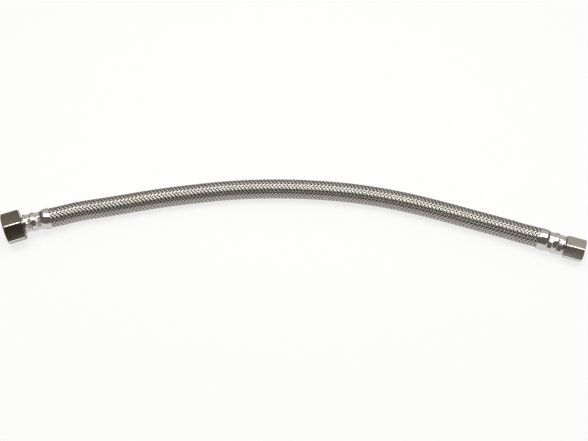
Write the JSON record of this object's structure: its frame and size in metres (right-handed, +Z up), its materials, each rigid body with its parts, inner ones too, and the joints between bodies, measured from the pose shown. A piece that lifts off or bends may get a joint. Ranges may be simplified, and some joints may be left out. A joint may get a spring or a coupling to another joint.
{
  "type": "faucet supply line",
  "caption": "Braided flexible water hose with a crimped metal sleeve and a loose hex nut at each end, the larger nut for the tap and the smaller for the stop valve.",
  "frame": {"origin": "bottom centre of the two fittings' box, on the surface that the line lies on", "axes": "+X from the faucet end to the valve end, +Y to the side that the hose bows towards, +Z up"},
  "size_m": [0.4768, 0.0812, 0.024],
  "materials": {
    "faucet_nut": "dark nickel plate, lightly brushed",
    "valve_nut": "nickel plate, lightly brushed",
    "ferrules": "polished stainless steel, crimped",
    "wire_braid": "woven fine stainless wire",
    "stems": "nickel-plated turned brass",
    "rubber_seals": "black moulded rubber",
    "inner_tube": "black rubber tube"
  },
  "bodies": {
    "hose": {"wire_braid": "wire_braid", "inner_tube": "inner_tube", "faucet_ferrule": "ferrules", "faucet_stem": "stems", "valve_ferrule": "ferrules", "valve_stem": "stems", "valve_seal": "rubber_seals"},
    "faucet_nut": {"faucet_nut": "faucet_nut", "faucet_washer": "rubber_seals"},
    "valve_nut": {"valve_nut": "valve_nut"}
  },
  "joints": [
    {"name": "faucet_nut_spin", "type": "hinge", "parent": "hose", "child": "faucet_nut", "pos_m": [-0.2204, 0.0098, 0.012], "axis": [-0.9311, -0.3649, 0], "continuous": true},
    {"name": "valve_nut_spin", "type": "hinge", "parent": "hose", "child": "valve_nut", "pos_m": [0.2211, -0.0099, 0.00875], "axis": [0.9466, -0.3223, 0], "continuous": true}
  ]
}
